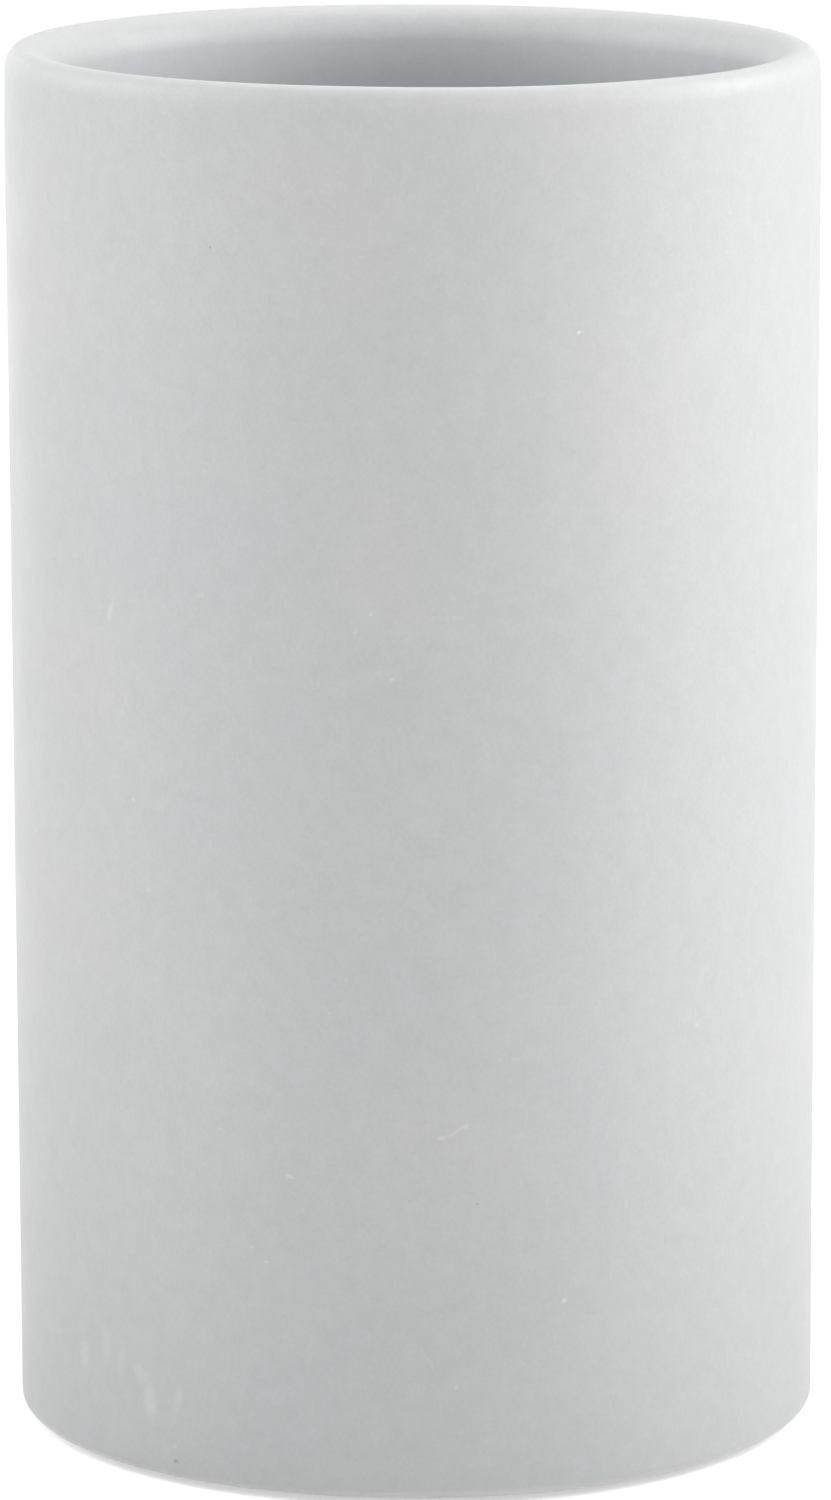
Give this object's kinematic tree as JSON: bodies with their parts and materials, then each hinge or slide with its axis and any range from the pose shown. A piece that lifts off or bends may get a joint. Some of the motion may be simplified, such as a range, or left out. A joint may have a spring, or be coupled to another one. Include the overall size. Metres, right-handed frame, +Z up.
{
  "type": "toothbrush holder",
  "caption": "Plain straight ceramic tumbler with a soft rolled lip, open at the top, standing on small anti-slip pads; holds toothbrushes upright.",
  "frame": {"origin": "middle of the circle that the tumbler stands on, in the plane of the pads' undersides", "axes": "+Z up along the tumbler's axis, towards its open mouth; -Y towards the viewer, where the first pad is"},
  "size_m": [0.07, 0.07, 0.12],
  "materials": {
    "matt_glazed_ceramic": "matt pale grey glaze",
    "clear_silicone": "satin"
  },
  "bodies": {
    "root": {"tumbler": "matt_glazed_ceramic", "anti_slip_pad_1": "clear_silicone", "anti_slip_pad_2": "clear_silicone", "anti_slip_pad_3": "clear_silicone"}
  },
  "joints": []
}
